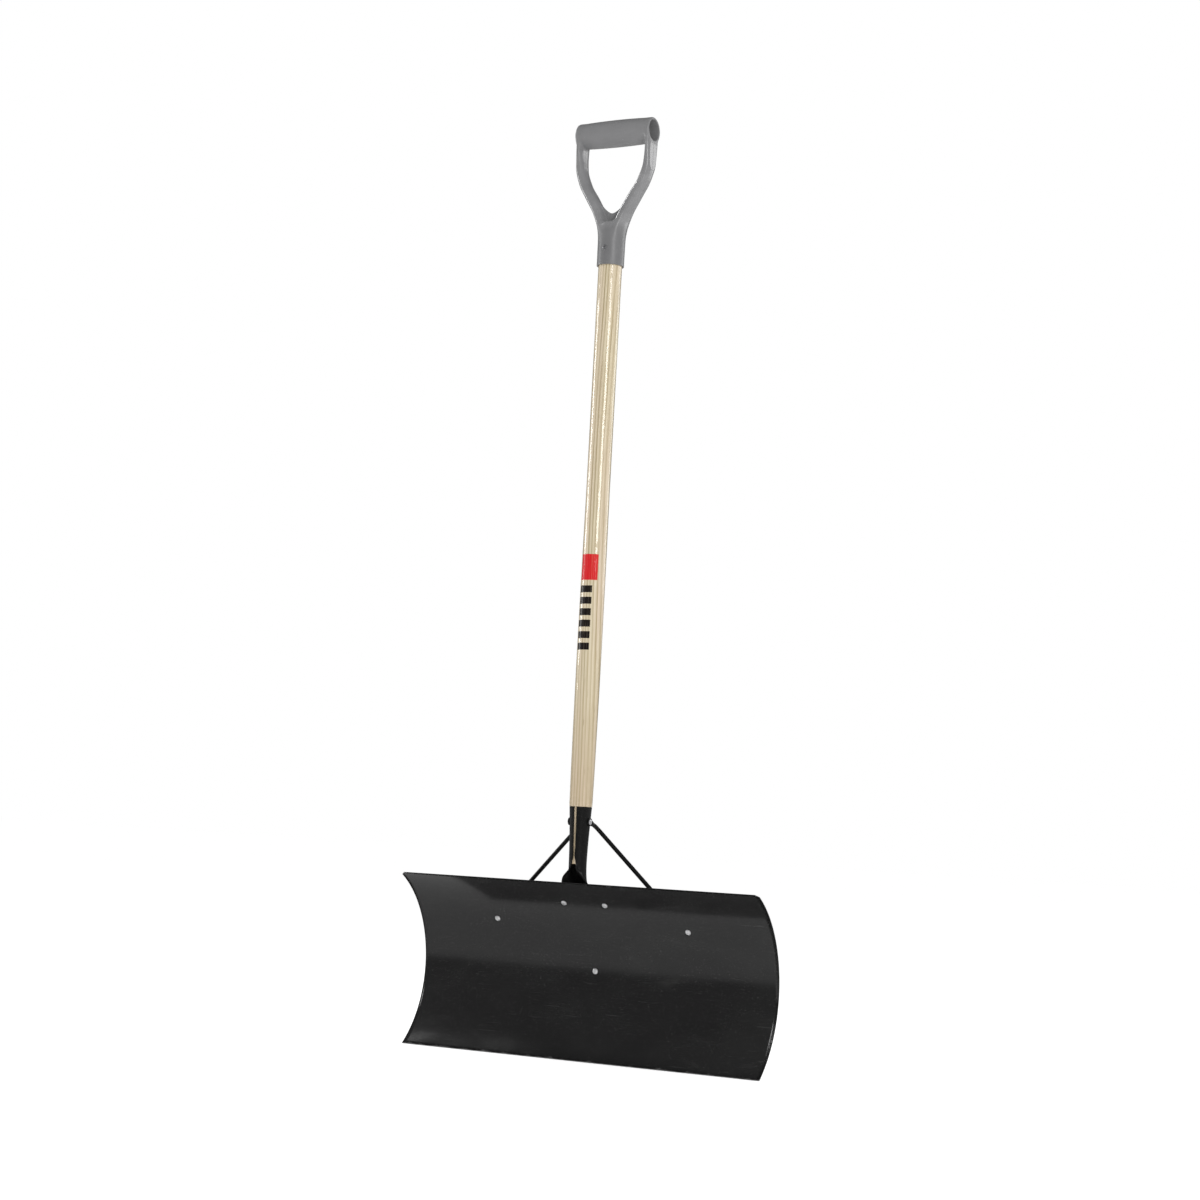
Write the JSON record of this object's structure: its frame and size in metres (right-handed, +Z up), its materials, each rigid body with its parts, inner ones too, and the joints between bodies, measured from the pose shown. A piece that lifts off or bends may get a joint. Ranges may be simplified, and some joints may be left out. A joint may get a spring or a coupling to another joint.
{
  "type": "snow shovel",
  "caption": "Wide curved steel snow pusher blade with rod braces, rolled steel socket, straight wood shaft and moulded D-grip.",
  "frame": {"origin": "middle of the blade's cutting edge", "axes": "+Z up along the handle's length, -Y the side the blade's hollow face looks to, +X along the blade's width, towards its right-hand end when seen from behind the tool"},
  "size_m": [0.61, 0.1019, 1.4223],
  "materials": {
    "blade_paint": "satin charcoal powder coat",
    "socket_paint": "satin black paint",
    "brace_paint": "satin black paint",
    "shaft_wood": "clear lacquered ash, with a plain red patch and plain black bars printed on it",
    "grip_plastic": "mid grey moulded plastic, semi-gloss",
    "rivet_aluminium": "bright",
    "zinc_plate": "zinc plated"
  },
  "bodies": {
    "root": {"blade": "blade_paint", "handle_socket": "socket_paint", "handle_shaft": "shaft_wood", "d_grip": "grip_plastic", "grip_screw": "zinc_plate", "brace_left": "brace_paint", "brace_right": "brace_paint", "cross_rivet": "zinc_plate", "socket_rivets": "rivet_aluminium", "socket_rivet_mandrels": "zinc_plate", "brace_rivets": "rivet_aluminium", "brace_rivet_mandrels": "zinc_plate"}
  },
  "joints": []
}
